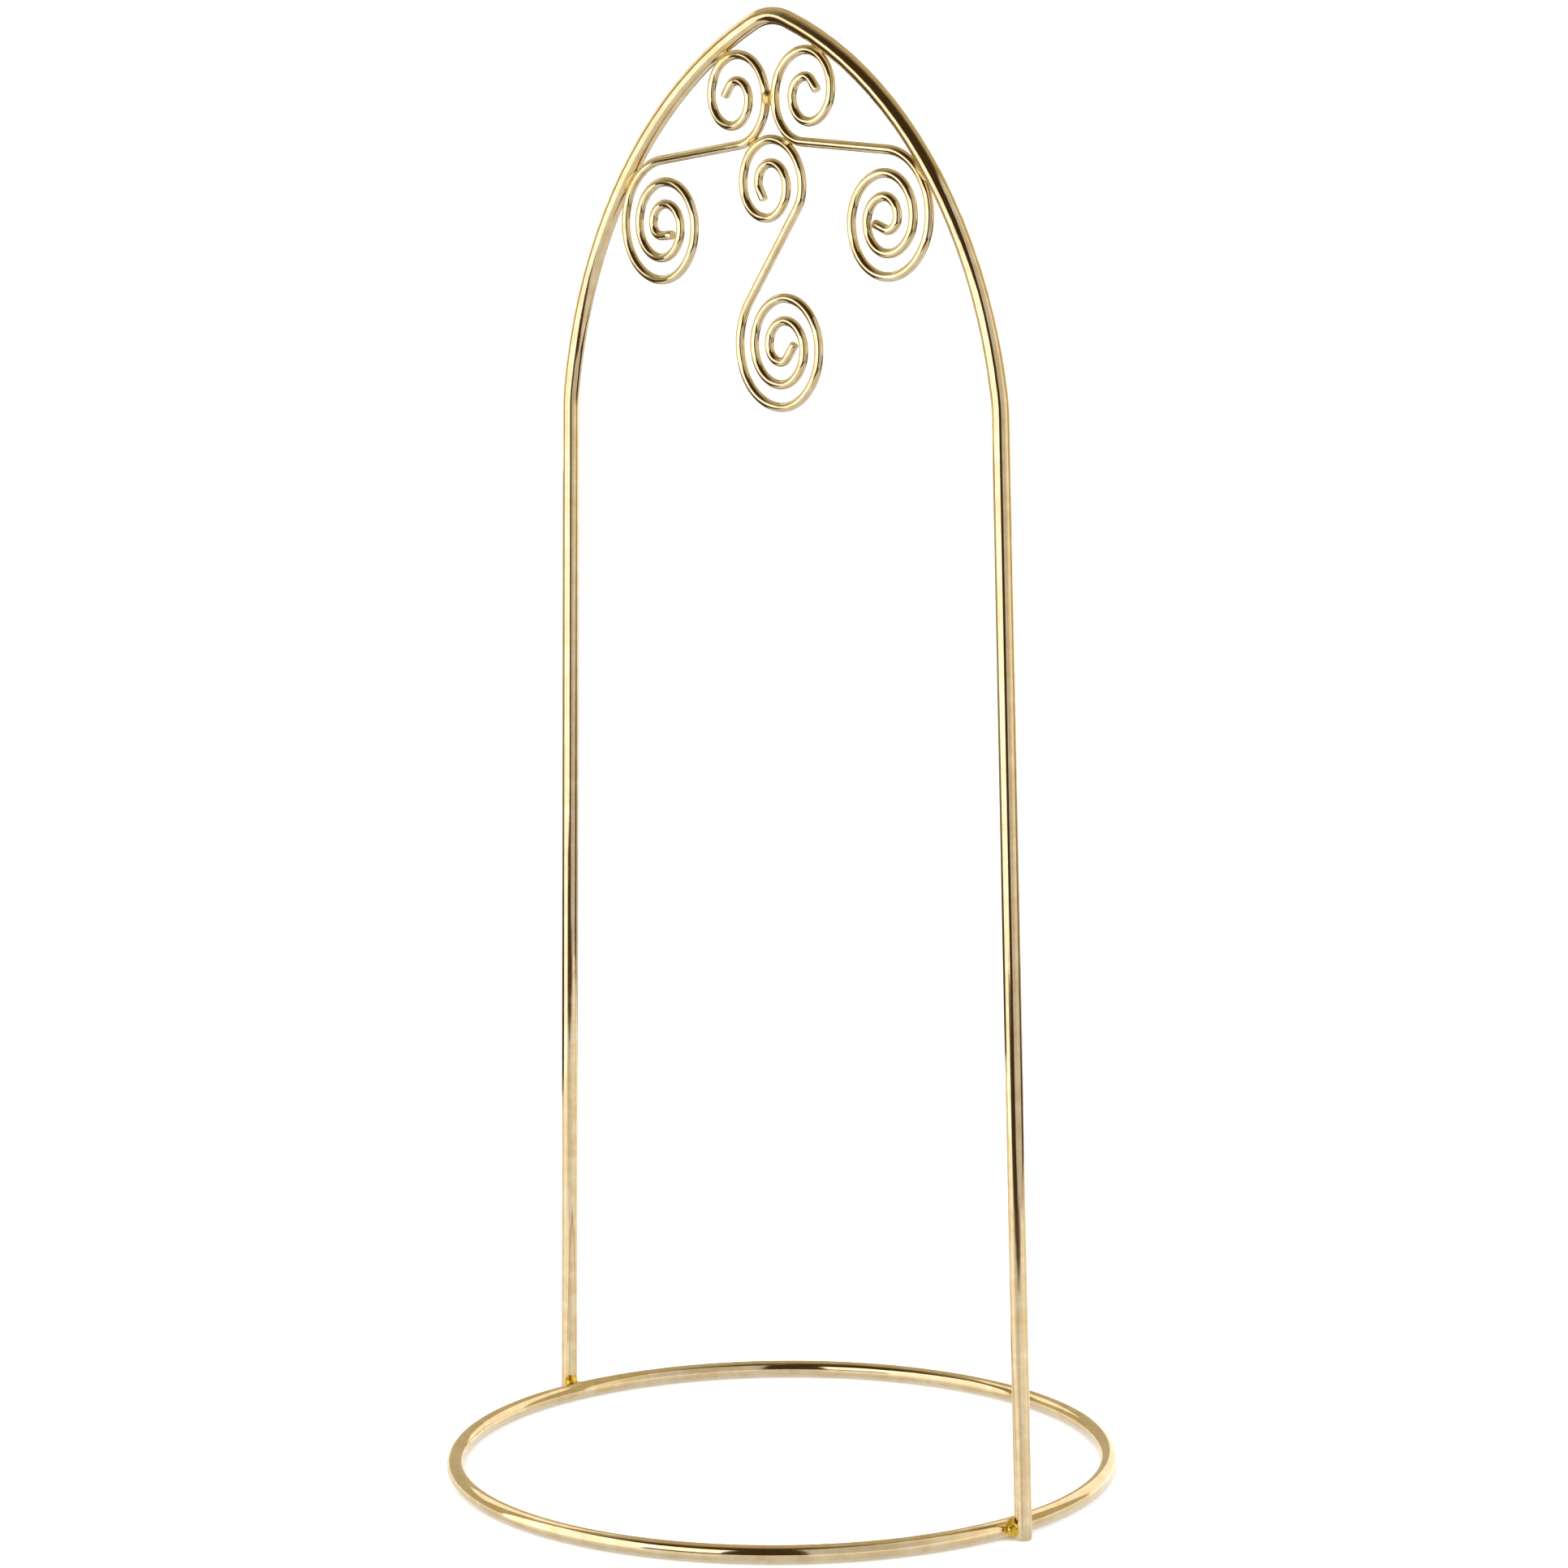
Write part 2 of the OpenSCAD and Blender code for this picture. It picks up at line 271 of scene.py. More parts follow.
def points_of(poses, end_round):
    """The poses' points in space, with extra ones near both ends for the eased cut."""
    points = [Vector((x, 0, z)) for x, z, _ in poses]
    first_run = (points[1] - points[0]).normalized() * end_round
    last_run = (points[-2] - points[-1]).normalized() * end_round
    return [
        points[0], *[points[0] + first_run * part for part in EASED_PARTS], *points[1:-1],
        *[points[-1] + last_run * part for part in reversed(EASED_PARTS)], points[-1],
    ]


# Node trees


MATH = "ShaderNodeMath"
VECTOR = "ShaderNodeVectorMath"
RANGE = "ShaderNodeMapRange"
# The part of a noise's range that its values mostly fill
NOISE_SPAN = {"From Min": 0.3, "From Max": 0.7}


def add(tree, kind, inputs=None, **settings):
    """Adds a node with its settings. Each input is set to a value, or linked from a socket or
    from the first working output of a node."""
    made = tree.nodes.new(kind)
    for name, value in settings.items():
        setattr(made, name, value)
    for name, value in (inputs or {}).items():
        socket = next((s for s in made.inputs if s.identifier == name), None) or made.inputs[name]
        if isinstance(value, bpy.types.Node):
            value = next(output for output in value.outputs if output.enabled)
        if isinstance(value, bpy.types.NodeSocket):
            tree.links.new(value, socket)
        else:
            socket.default_value = value
    return made


def per_mm(size):
    """The Noise scale of a pattern that repeats about every so many millimetres."""
    return 1 / (size * MM)


def geometry_tree(name, inputs):
    """A Geometry Nodes tree with named inputs, its input node and its output node."""
    tree = bpy.data.node_groups.new(name, "GeometryNodeTree")
    tree.interface.new_socket("Geometry", in_out="INPUT", socket_type="NodeSocketGeometry")
    for label, kind in inputs.items():
        tree.interface.new_socket(label, in_out="INPUT", socket_type="NodeSocket" + kind)
    tree.interface.new_socket("Geometry", in_out="OUTPUT", socket_type="NodeSocketGeometry")
    return tree, tree.nodes.new("NodeGroupInput").outputs, tree.nodes.new("NodeGroupOutput")


def finish_tree(tree, result, material, end):
    """Ends a tree with smooth shading, Realize Instances and Set Material."""
    smooth = add(tree, "GeometryNodeSetShadeSmooth", {"Geometry": result})
    real = add(tree, "GeometryNodeRealizeInstances", {"Geometry": smooth})
    painted = add(tree, "GeometryNodeSetMaterial", {"Geometry": real, "Material": material})
    tree.links.new(painted.outputs[0], end.inputs[0])


def swept_rod_tree():
    """Sweeps a round section along a path. It stores each point's place on the rod as it was
    before bending, and how near it lies to a brazed joint."""
    tree, given, end = geometry_tree(
        "Swept rod",
        {
            "Diameter": "Float", "Sides": "Int", "End rounding": "Float", "End share": "Float",
            "Joints": "Object", "Tint reach": "Float", "Finish": "Material",
        },
    )
    radius = add(tree, MATH, {0: given["Diameter"], 1: 0.5}, operation="MULTIPLY")
    path = add(tree, "GeometryNodeMeshToCurve", {"Mesh": given["Geometry"]})
    along = add(tree, "GeometryNodeSplineParameter").outputs["Length"]
    total = add(tree, "GeometryNodeSplineLength").outputs["Length"]
    to_go = add(tree, MATH, {0: total, 1: along}, operation="SUBTRACT")
    from_end = add(tree, MATH, {0: along, 1: to_go}, operation="MINIMUM")
    eased = add(
        tree, RANGE,
        {"Value": from_end, "From Max": given["End rounding"], "To Min": given["End share"], "To Max": 1.0},
    )
    rounded = add(tree, MATH, {0: eased}, operation="SQRT")
    kept = add(tree, "GeometryNodeCaptureAttribute", {"Geometry": path})
    kept.capture_items.new("FLOAT", "Along")
    tree.links.new(along, kept.inputs["Along"])
    section = add(tree, "GeometryNodeCurvePrimitiveCircle", {"Resolution": given["Sides"], "Radius": 1.0})
    kept_section = add(tree, "GeometryNodeCaptureAttribute", {"Geometry": section})
    kept_section.capture_items.new("VECTOR", "Around")
    tree.links.new(add(tree, "GeometryNodeInputPosition").outputs[0], kept_section.inputs["Around"])
    swept = add(
        tree, "GeometryNodeCurveToMesh",
        {
            "Curve": kept.outputs["Geometry"], "Profile Curve": kept_section.outputs["Geometry"],
            "Scale": add(tree, MATH, {0: radius, 1: rounded}, operation="MULTIPLY"), "Fill Caps": True,
        },
    )
    around = add(tree, VECTOR, {"Vector": kept_section.outputs["Around"], "Scale": radius}, operation="SCALE")
    lengthwise = add(tree, "ShaderNodeCombineXYZ", {"Z": kept.outputs["Along"]})
    place = add(tree, VECTOR, {0: around, 1: lengthwise}, operation="ADD")
    placed = add(
        tree, "GeometryNodeStoreNamedAttribute", {"Geometry": swept, "Name": "rod_place", "Value": place},
        data_type="FLOAT_VECTOR", domain="POINT",
    )
    joints = add(tree, "GeometryNodeObjectInfo", {"Object": given["Joints"]}).outputs["Geometry"]
    near = add(tree, "GeometryNodeProximity", {"Target": joints}, target_element="POINTS").outputs["Distance"]
    tint = add(
        tree, RANGE, {"Value": near, "From Max": given["Tint reach"], "To Min": 1.0, "To Max": 0.0},
        interpolation_type="SMOOTHERSTEP",
    )
    tinted = add(
        tree, "GeometryNodeStoreNamedAttribute", {"Geometry": placed, "Name": "joint_tint", "Value": tint},
        data_type="FLOAT", domain="POINT",
    )
    finish_tree(tree, tinted, given["Finish"], end)
    return tree


def bend_distance(tree, given, which):
    """Distance from the surface of a bent rod, whose centre line is a whole circle."""
    here = add(tree, "GeometryNodeInputPosition")
    axis = given[which + " axis"]
    offset = add(tree, VECTOR, {0: here, 1: given[which + " centre"]}, operation="SUBTRACT")
    height = add(tree, VECTOR, {0: offset, 1: axis}, operation="DOT_PRODUCT")
    lift = add(tree, VECTOR, {0: axis, "Scale": height}, operation="SCALE")
    flat = add(tree, VECTOR, {0: offset, 1: lift}, operation="SUBTRACT")
    out = add(tree, VECTOR, {0: flat}, operation="LENGTH")
    side = add(tree, MATH, {0: out, 1: given[which + " bend"]}, operation="SUBTRACT")
    height_square = add(tree, MATH, {0: height, 1: height}, operation="MULTIPLY")
    square = add(tree, MATH, {0: side, 1: side, 2: height_square}, operation="MULTIPLY_ADD")
    from_line = add(tree, MATH, {0: square}, operation="SQRT")
    return add(tree, MATH, {0: from_line, 1: given[which + " radius"]}, operation="SUBTRACT")


# How finely a fillet is modelled, how far it reaches into a rod, and how far its skin has to
# stand clear of both rods before the ripple is at its full height
VOXEL = 0.09 * MM
SINK = 0.035 * MM
CLEAR = 0.15 * MM
# How far the skin is drawn in: further than it sinks, so that no film is left on bare rod
DRAWN_IN = 1.4 * SINK
# How widely the lump of spare metal melts into its fillet, in radii of the lump
LUMP_SPREAD = 1.2


def braze_tree():
    """Fills the nip between two bent rods with a fillet that thins out along the joint, and
    with one rounded lump of spare metal. It reaches a hair into both rods."""
    sides = {
        f"{which} {part}": kind
        for which in ("First", "Second")
        for part, kind in (("centre", "Vector"), ("axis", "Vector"), ("bend", "Float"), ("radius", "Float"))
    }
    tree, given, end = geometry_tree(
        "Braze fillet",
        {
            **sides, "Nip": "Vector", "Along": "Vector", "Reach": "Float", "Fillet": "Float",
            "Half box": "Vector", "Lump": "Vector", "Lump radius": "Float", "Ripple": "Float",
            "Seed": "Float", "Finish": "Material",
        },
    )
    first = bend_distance(tree, given, "First")
    second = bend_distance(tree, given, "Second")
    here = add(tree, "GeometryNodeInputPosition")

    # The fillet is full at the nip and fades to nothing at its reach
    offset = add(tree, VECTOR, {0: here, 1: given["Nip"]}, operation="SUBTRACT")
    run = add(tree, VECTOR, {0: offset, 1: given["Along"]}, operation="DOT_PRODUCT")
    part = add(tree, MATH, {0: run, 1: given["Reach"]}, operation="DIVIDE")
    part_square = add(tree, MATH, {0: part, 1: part}, operation="MULTIPLY")
    left_over = add(tree, MATH, {0: 1.0, 1: part_square}, operation="SUBTRACT")
    not_below = add(tree, MATH, {0: left_over, 1: 0.0}, operation="MAXIMUM")
    fade = add(tree, MATH, {0: not_below}, operation="SQRT")
    width = add(tree, MATH, {0: given["Fillet"], 1: fade}, operation="MULTIPLY")
    fillet = add(tree, MATH, {0: first, 1: second, 2: width}, operation="SMOOTH_MIN")
    to_lump = add(tree, VECTOR, {0: here, 1: given["Lump"]}, operation="DISTANCE")
    lump = add(tree, MATH, {0: to_lump, 1: given["Lump radius"]}, operation="SUBTRACT")
    blend = add(tree, MATH, {0: given["Lump radius"], 1: LUMP_SPREAD}, operation="MULTIPLY")
    melted = add(tree, MATH, {0: fillet, 1: lump, 2: blend}, operation="SMOOTH_MIN")

    # The ripple shows only on braze that stands clear of both rods
    nearest = add(tree, MATH, {0: first, 1: second}, operation="MINIMUM")
    clear = add(tree, MATH, {0: nearest, 1: melted}, operation="SUBTRACT")
    clear_part = add(tree, MATH, {0: clear, 1: CLEAR}, operation="DIVIDE")
    shown = add(tree, MATH, {0: clear_part, 1: 1.0}, operation="MINIMUM")
    noise = add(
        tree, "ShaderNodeTexNoise", {"Vector": here, "W": given["Seed"], "Scale": per_mm(2), "Detail": 0.0},
        noise_dimensions="4D",
    )
    centred = add(tree, MATH, {0: noise, 1: 0.5}, operation="SUBTRACT")
    wave = add(tree, MATH, {0: centred, 1: given["Ripple"]}, operation="MULTIPLY")
    drawn_in = add(tree, MATH, {0: melted, 1: DRAWN_IN}, operation="ADD")
    skin = add(tree, MATH, {0: wave, 1: shown, 2: drawn_in}, operation="MULTIPLY_ADD")

    # It stops just inside both rods and just above the floor
    in_first = add(tree, MATH, {0: -SINK, 1: first}, operation="SUBTRACT")
    in_second = add(tree, MATH, {0: -SINK, 1: second}, operation="SUBTRACT")
    in_both = add(tree, MATH, {0: in_first, 1: in_second}, operation="MAXIMUM")
    outside = add(tree, MATH, {0: skin, 1: in_both}, operation="MAXIMUM")
    level = add(tree, "ShaderNodeSeparateXYZ", {"Vector": here}).outputs["Z"]
    under = add(tree, MATH, {0: SINK, 1: level}, operation="SUBTRACT")
    solid = add(tree, MATH, {0: outside, 1: under}, operation="MAXIMUM")

    size = add(tree, "ShaderNodeSeparateXYZ", {"Vector": given["Half box"]}).outputs
    counts = [add(tree, MATH, {0: size[i], 1: VOXEL / 2}, operation="DIVIDE") for i in range(3)]
    cube = add(
        tree, "GeometryNodeVolumeCube",
        {
            "Density": add(tree, MATH, {0: solid, 1: -1 / MM}, operation="MULTIPLY"), "Background": -1.0,
            "Min": add(tree, VECTOR, {0: given["Nip"], 1: given["Half box"]}, operation="SUBTRACT"),
            "Max": add(tree, VECTOR, {0: given["Nip"], 1: given["Half box"]}, operation="ADD"),
            "Resolution X": counts[0], "Resolution Y": counts[1], "Resolution Z": counts[2],
        },
    )
    mesh = add(tree, "GeometryNodeVolumeToMesh", {"Volume": cube, "Threshold": 0.0})
    finish_tree(tree, mesh, given["Finish"], end)
    return tree


def grown(name, mesh, tree, values):
    """An object whose plain mesh is what a tree makes of another mesh."""
    piece = bpy.data.objects.new(name, mesh)
    bpy.context.scene.collection.objects.link(piece)
    modifier = piece.modifiers.new(tree.name, "NODES")
    modifier.node_group = tree
    sockets = {i.name: i.identifier for i in tree.interface.items_tree if i.in_out == "INPUT"}
    for label, value in values.items():
        modifier[sockets[label]] = value
    evaluated = piece.evaluated_get(bpy.context.evaluated_depsgraph_get())
    result = bpy.data.meshes.new_from_object(evaluated)
    piece.modifiers.clear()
    piece.data = result
    bpy.data.meshes.remove(mesh)
    result.name = name
    if not result.polygons:
        raise RuntimeError(f"{name} came out empty")
    return piece


def fasten(piece, node):
    """The piece is hung on the root body, and the frame's own part for the node is hidden."""
    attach(piece, "root")
    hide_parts(node)


# Materials


def new_material(name):
    """An empty material, its tree and its surface shader."""
    material = bpy.data.materials.new(name)
    material.use_nodes = True
    tree = material.node_tree
    tree.nodes.clear()
    shader = add(tree, "ShaderNodeBsdfPrincipled")
    add(tree, "ShaderNodeOutputMaterial", {"Surface": shader.outputs[0]})
    return material, tree, shader


def plated_drawn_steel(name, pale, deep, patch_mm):
    """Brass plating over polished drawn steel. The eye sees near-mirror streaks that run along the
    bends, softened by faint drawing lines, pale and deeper patches in the plating, and a warmer
    gold where the torch heated it beside a joint."""
    finish = bpy.context.scene.stand_finish
    material, tree, shader = new_material(name)
    place = add(tree, "ShaderNodeAttribute", attribute_name="rod_place").outputs["Vector"]
    tint = add(tree, "ShaderNodeAttribute", attribute_name="joint_tint").outputs["Fac"]
    patches = add(tree, "ShaderNodeTexNoise", {"Vector": place, "Scale": per_mm(patch_mm), "Detail": 3.0})
    depth = add(tree, RANGE, {"Value": patches, **NOISE_SPAN})
    body = add(
        tree, "ShaderNodeMix", {"Factor_Float": depth, "A_Color": (*pale, 1), "B_Color": (*deep, 1)},
        data_type="RGBA",
    )
    warm = add(tree, MATH, {0: tint, 1: JOINT_TINT}, operation="MULTIPLY")
    heated = add(
        tree, "ShaderNodeMix", {"Factor_Float": warm, "A_Color": body, "B_Color": (*finish.braze, 1)},
        data_type="RGBA",
    )

    # Drawing lines are a few hundredths of a millimetre apart; these are drawn coarser, to show
    drawn = add(tree, "ShaderNodeMapping", {"Vector": place, "Scale": (1, 1, 0.03)})
    lines = add(tree, "ShaderNodeTexNoise", {"Vector": drawn, "Scale": per_mm(0.3), "Detail": 2.0})
    waver = add(tree, "ShaderNodeTexNoise", {"Vector": place, "Scale": per_mm(7), "Detail": 1.0})
    line_rough = add(
        tree, RANGE,
        {"Value": lines, **NOISE_SPAN, "To Min": 0.8 * finish.polish, "To Max": 1.2 * finish.polish},
    )
    patch_rough = add(tree, RANGE, {"Value": patches, **NOISE_SPAN, "To Max": 0.3 * finish.polish})
    rough = add(tree, MATH, {0: line_rough, 1: patch_rough}, operation="ADD")
    fine = add(tree, "ShaderNodeBump", {"Height": lines, "Distance": 0.0004 * MM})
    broad = add(tree, "ShaderNodeBump", {"Height": waver, "Distance": 0.03 * MM, "Normal": fine})
    tree.links.new(heated.outputs[2], shader.inputs["Base Color"])
    tree.links.new(rough.outputs[0], shader.inputs["Roughness"])
    tree.links.new(broad.outputs[0], shader.inputs["Normal"])
    shader.inputs["Metallic"].default_value = 1.0
    return material


def plated_braze(name, pale, deep):
    """Brass braze, melted into a nip and plated over. The eye sees a rich, wavy gold that darkens
    where flux was trapped, with a softer shine than the rod."""
    material, tree, shader = new_material(name)
    place = add(tree, "ShaderNodeTexCoord").outputs["Object"]
    clouds = add(tree, "ShaderNodeTexNoise", {"Vector": place, "Scale": per_mm(1.6), "Detail": 3.0})
    depth = add(tree, RANGE, {"Value": clouds, **NOISE_SPAN})
    gold = add(
        tree, "ShaderNodeMix", {"Factor_Float": depth, "A_Color": (*pale, 1), "B_Color": (*deep, 1)},
        data_type="RGBA",
    )
    rough = add(tree, RANGE, {"Value": clouds, **NOISE_SPAN, "To Min": 0.22, "To Max": 0.36})
    ripples = add(tree, "ShaderNodeTexNoise", {"Vector": place, "Scale": per_mm(0.6), "Detail": 2.0})
    bump = add(tree, "ShaderNodeBump", {"Height": ripples, "Distance": 0.008 * MM})
    tree.links.new(gold.outputs[2], shader.inputs["Base Color"])
    tree.links.new(rough.outputs[0], shader.inputs["Roughness"])
    tree.links.new(bump.outputs[0], shader.inputs["Normal"])
    shader.inputs["Metallic"].default_value = 1.0
    return material


def matt_board(name, white):
    """White laminated board with a fine matt texture. The eye sees plain, even paleness."""
    material, tree, shader = new_material(name)
    place = add(tree, "ShaderNodeTexCoord").outputs["Object"]
    grain = add(tree, "ShaderNodeTexNoise", {"Vector": place, "Scale": per_mm(3), "Detail": 4.0})
    soft = [0.985 * c for c in white]
    shade = add(
        tree, "ShaderNodeMix", {"Factor_Float": grain, "A_Color": (*white, 1), "B_Color": (*soft, 1)},
        data_type="RGBA",
    )
    tree.links.new(shade.outputs[2], shader.inputs["Base Color"])
    shader.inputs["Roughness"].default_value = 0.8
    shader.inputs["Specular IOR Level"].default_value = 0.2
    return material


def backlit_table(white):
    """Polished opal acrylic whose glow is painted into its emission, as if lit from below. In the metal the
    eye sees a white sheet with painted brighter and dimmer patches of light, with the panels mirrored in it
    and no shadow under the ring."""
    material, tree, shader = new_material("backlit_opal_acrylic")
    material.cycles.emission_sampling = "NONE"
    place = add(tree, "ShaderNodeTexCoord").outputs["Object"]
    # Painted light: brighter and dimmer patches in the sheet's own glow, with no lamp under it
    painted_glow_patches = add(tree, "ShaderNodeTexNoise", {"Vector": place, "Scale": per_mm(120), "Detail": 1.0})
    between = add(tree, RANGE, {"Value": painted_glow_patches, **NOISE_SPAN})
    dimmer = [0.86 * c for c in white]
    glow = add(
        tree, "ShaderNodeMix", {"Factor_Float": between, "A_Color": (*white, 1), "B_Color": (*dimmer, 1)},
        data_type="RGBA",
    )
    tree.links.new(glow.outputs[2], shader.inputs["Emission Color"])
    shader.inputs["Emission Strength"].default_value = 0.93
    shader.inputs["Base Color"].default_value = (*linear("#191919"), 1)
    shader.inputs["Roughness"].default_value = 0.12
    return material


# Building


# Sides of the round sections, and points round the ring
ROD_SIDES = 48
WIRE_SIDES = 32
RING_STEPS = 240
# How far along the rod a joint's heat has coloured it, and how strongly
TINT_REACH = 5 * MM
JOINT_TINT = 0.35
# How much of the section's area is left at a cut end
END_SHARE = 0.85


def flat_point(point):
    """A point of the arch's plane, in space."""
    return Vector((point.x, 0, point.y))


def joint_places(s, where):
    """Where the brazed joints are, as points in space."""
    away = (where.low_c - where.flank_c).normalized()
    low = where.flank_c + (s.flank_r - s.rod_d / 2) * away
    away = (where.top_second_c - where.flank_c).normalized()
    top = where.flank_c + (s.flank_r - s.rod_d / 2) * away
    right = where.top_c - where.crook_c
    left = across(where.top_c) - where.crook_second_c
    nest = s.wire_d / 2
    return {
        "foot": Vector(((s.ring_d + s.rod_d) / 2, 0, s.rod_d / 2)),
        "low": flat_point(low),
        "top": flat_point(top),
        "crown": Vector((0, 0, where.top_c.y)),
        "right": flat_point(where.crook_c + (s.crook_r + nest) * right.normalized()),
        "left": flat_point(where.crook_second_c + (where.crook_second_r + nest) * left.normalized()),
    }


def joint_cloud(s, where):
    """A helper object that holds a point at every joint."""
    places = joint_places(s, where)
    points = [places["crown"], places["right"], places["left"]]
    for name in ("foot", "low", "top"):
        points += [places[name], Vector((-places[name].x, 0, places[name].z))]
    mesh = bpy.data.meshes.new("joint_points")
    mesh.from_pydata(points, [], [])
    return bpy.data.objects.new("joint_points", mesh)


def swept(name, points, closed, diameter, sides, material):
    """Rod or wire along points, as a plain mesh."""
    s = bpy.context.scene.stand_sizes
    count = len(points)
    mesh = bpy.data.meshes.new(name + "_path")
    mesh.from_pydata(points, [(i, (i + 1) % count) for i in range(count if closed else count - 1)], [])
    cloud = joint_cloud(s, layout(s))
    bpy.context.scene.collection.objects.link(cloud)
    tree = bpy.data.node_groups.get("Swept rod") or swept_rod_tree()
    piece = grown(
        name, mesh, tree,
        {
            "Diameter": diameter, "Sides": sides, "End rounding": s.end_round,
            "End share": 1.0 if closed else END_SHARE, "Joints": cloud, "Tint reach": TINT_REACH,
            "Finish": material,
        },
    )
    bpy.data.objects.remove(cloud)
    piece.data.set_sharp_from_angle(angle=math.radians(50))
    return piece


def rod_material():
    """The finish of the ring and the arch."""
    name = "brass_plated_drawn_rod"
    finish = bpy.context.scene.stand_finish
    return bpy.data.materials.get(name) or plated_drawn_steel(name, finish.rod_pale, finish.rod_deep, 3.2)


def wire_material():
    """The finish of the scrolls."""
    name = "brass_plated_drawn_wire"
    finish = bpy.context.scene.stand_finish
    return bpy.data.materials.get(name) or plated_drawn_steel(name, finish.wire_pale, finish.wire_deep, 2.2)


def bend(which, centre, axis, radius, diameter):
    """The tree inputs that describe one rod at a joint."""
    return {
        which + " centre": centre, which + " axis": axis,
        which + " bend": radius, which + " radius": diameter / 2,
    }


# Every bend of the arch and the scrolls is about this direction
ARCH_AXIS = (0, 1, 0)
# A straight leg is taken as a bend of this very large radius
STRAIGHT_BEND = 5.0
# How high a thin fillet's surface ripples
SEAM_RIPPLE = 0.06 * MM


def foot_material():
    """The finish of the thick fillets at the feet."""
    name = "plated_brass_braze"
    finish = bpy.context.scene.stand_finish
    return bpy.data.materials.get(name) or plated_braze(name, finish.braze, finish.braze_deep)


def seam_material():
    """The finish of the thin fillets at the scrolls."""
    name = "plated_thin_braze"
    finish = bpy.context.scene.stand_finish
    return bpy.data.materials.get(name) or plated_braze(name, finish.seam, finish.seam_deep)


def braze(name, node, values, seed):
    """A braze fillet that stands for one bead of the frame."""
    tree = bpy.data.node_groups.get("Braze fillet") or braze_tree()
    values = {"Lump": values["Nip"], "Lump radius": 0.0, "Ripple": SEAM_RIPPLE, **values}
    values["Seed"] = seed
    piece = grown(name, bpy.data.meshes.new(name), tree, values)
    fasten(piece, node)
    return piece


class BuildRing(bpy.types.Operator):
    """Build the base ring"""

    bl_idname = "stand.build_ring"
    bl_label = "Base ring"

    def execute(self, context):
        s = context.scene.stand_sizes
        turns = [2 * math.pi * k / RING_STEPS for k in range(RING_STEPS)]
        points = [Vector((*(s.ring_d / 2 * unit(turn)), s.rod_d / 2)) for turn in turns]
        ring = swept("ring_rod", points, True, s.rod_d, ROD_SIDES, rod_material())
        fasten(ring, "base_ring")
        return {"FINISHED"}


class BuildArch(bpy.types.Operator):
    """Build the pointed arch"""

    bl_idname = "stand.build_arch"
    bl_label = "Arch"

    def execute(self, context):
        s = context.scene.stand_sizes
        where = layout(s)
        # A leaning foot is lifted, so that its low edge rests on the floor
        lift = s.rod_d / 2 * math.sin(s.leg_lean)
        start = (where.foot_x - lift * math.sin(s.leg_lean), lift, QUARTER + s.leg_lean)
        half = route(
            start,
            [
                (where.leg_len - lift, 0), (s.shoulder_r, s.shoulder_turn),
                (s.flank_r, where.flank_turn), (s.point_r, where.point_turn),
            ],
        )
        poses = half + turned_back(mirrored(half))[1:]
        points = points_of(poses, s.end_round)
        arch = swept("arch_rod_bent", points, False, s.rod_d, ROD_SIDES, rod_material())
        fasten(arch, "arch_rod")
        return {"FINISHED"}


class BuildSideScrolls(bpy.types.Operator):
    """Build the left and right scrolls"""

    bl_idname = "stand.build_side_scrolls"
    bl_label = "Side scrolls"

    def execute(self, context):
        s = context.scene.stand_sizes
        where = layout(s)
        start = where.bar_start
        for name, low_turn in (("right_scroll", s.right_low_turn), ("left_scroll", s.left_low_turn)):
            top_lead = math.pi - s.bar_slope
            upper = route(
                (start.x, start.y, top_lead),
                volute(s.top_r, top_lead, where.top_second_r, s.top_pitch, s.top_turn, s.short_tail, -1),
            )
            lower = route(
                (start.x, start.y, -s.bar_slope),
                [
                    (where.bar_len, 0),
                    *volute(
                        s.low_r, QUARTER - s.bar_slope, s.low_r - s.low_pitch / 4,
                        s.low_pitch, low_turn, s.long_tail, -1,
                    ),
                ],
            )
            poses = turned_back(upper) + lower[1:]
            if name == "left_scroll":
                poses = mirrored(poses)
            points = points_of(poses, s.end_round)
            wire = swept(name + "_wire", points, False, s.wire_d, WIRE_SIDES, wire_material())
            fasten(wire, name)
        return {"FINISHED"}


class BuildCentreScroll(bpy.types.Operator):
    """Build the centre scroll with its hanging volute"""

    bl_idname = "stand.build_centre_scroll"
    bl_label = "Centre scroll"

    def execute(self, context):
        s = context.scene.stand_sizes
        start = layout(s).diagonal_top
        upper = route(
            (start.x, start.y, QUARTER - s.diagonal_slant),
            volute(s.neck_r, s.diagonal_slant, s.crook_r, s.crook_pitch, s.crook_turn, s.short_tail, 1),
        )
        lower = route(
            (start.x, start.y, -QUARTER - s.diagonal_slant),
            [
                (s.diagonal_len, 0),
                *volute(
                    s.hook_r, s.diagonal_slant, s.hook_r - s.hook_pitch / 4,
                    s.hook_pitch, s.hook_turn, s.long_tail, 1,
                ),
            ],
        )
        poses = turned_back(upper) + lower[1:]
        points = points_of(poses, s.end_round)
        wire = swept("centre_scroll_wire", points, False, s.wire_d, WIRE_SIDES, wire_material())
        fasten(wire, "centre_scroll")
        return {"FINISHED"}


